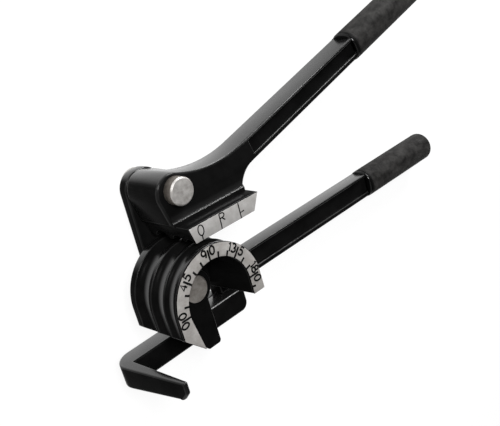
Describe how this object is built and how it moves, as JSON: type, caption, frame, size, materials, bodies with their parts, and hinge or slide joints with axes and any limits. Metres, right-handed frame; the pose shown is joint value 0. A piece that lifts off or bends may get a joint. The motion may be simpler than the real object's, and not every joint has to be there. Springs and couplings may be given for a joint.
{
  "type": "tube bender",
  "caption": "Hand lever tube bender with a grooved semicircular former, degree scale, hook arm, swinging link and sliding shoe, and long gripped handles.",
  "frame": {"origin": "On the bend centre's axis, which is the centre pin's axis, level with the lowest side of the fixed grip.", "axes": "+X along the fixed handle from the bend centre to its grip, +Y from the bend centre towards the lever's pivot at a bend of 90 degrees, +Z along the pins out of the degree scale."},
  "size_m": [0.2321, 0.1196, 0.054],
  "materials": {
    "paint": "gloss black paint on cast metal",
    "bare_metal": "machined, matt silver",
    "steel": "turned steel",
    "bronze": "plain bearing bronze",
    "grip": "matt dark grey sleeve"
  },
  "bodies": {
    "frame": {"former": "paint", "degree_scale": "bare_metal", "hook_bar": "paint", "neck_screw": "steel", "neck_dowel": "steel", "fixed_handle": "paint", "handle_screws": "steel", "fixed_grip": "grip", "centre_pin": "steel", "centre_washer": "steel", "centre_clip": "steel"},
    "link": {"link": "paint", "centre_bush": "bronze", "lever_bush": "bronze"},
    "lever": {"lever": "paint", "lever_pin": "steel", "lever_washer": "steel", "lever_clip": "steel", "shoe": "paint", "shoe_scale": "bare_metal", "shoe_screws": "steel", "lever_grip": "grip"}
  },
  "joints": [
    {"name": "link_swing", "type": "hinge", "parent": "frame", "child": "link", "pos_m": [0, 0, 0.0149], "axis": [0, 0, 1], "range_deg": [-88.5, 91.5]},
    {"name": "lever_swing", "type": "hinge", "parent": "link", "child": "lever", "pos_m": [0.00123, 0.04678, 0.0149], "axis": [0, 0, 1], "range_deg": [0, 120]}
  ]
}
